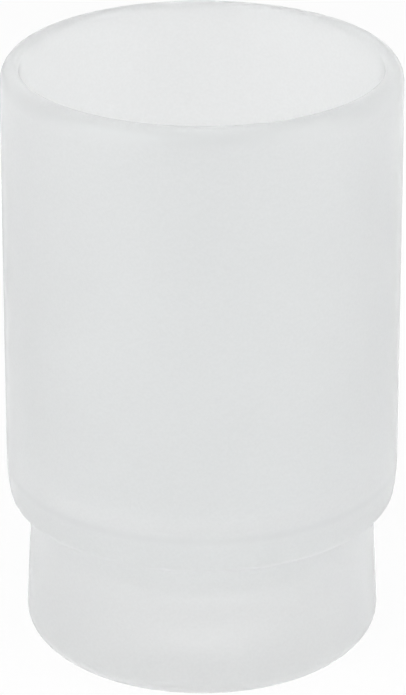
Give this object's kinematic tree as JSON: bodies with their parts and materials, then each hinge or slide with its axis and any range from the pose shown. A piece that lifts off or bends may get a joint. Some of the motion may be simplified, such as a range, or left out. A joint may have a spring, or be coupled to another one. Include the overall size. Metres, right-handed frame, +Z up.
{
  "type": "glass tumbler",
  "caption": "Straight frosted glass tumbler with a rounded rim, a thick base and a narrower stepped foot that sits in a ring holder.",
  "frame": {"origin": "centre of the flat base, on the surface the tumbler stands on", "axes": "+Z up along the turning axis, towards the mouth; X and Y are alike, because the glass is round"},
  "size_m": [0.071, 0.071, 0.1084],
  "materials": {
    "frosted_glass": "satin etched"
  },
  "bodies": {
    "root": {"tumbler": "frosted_glass"}
  },
  "joints": []
}
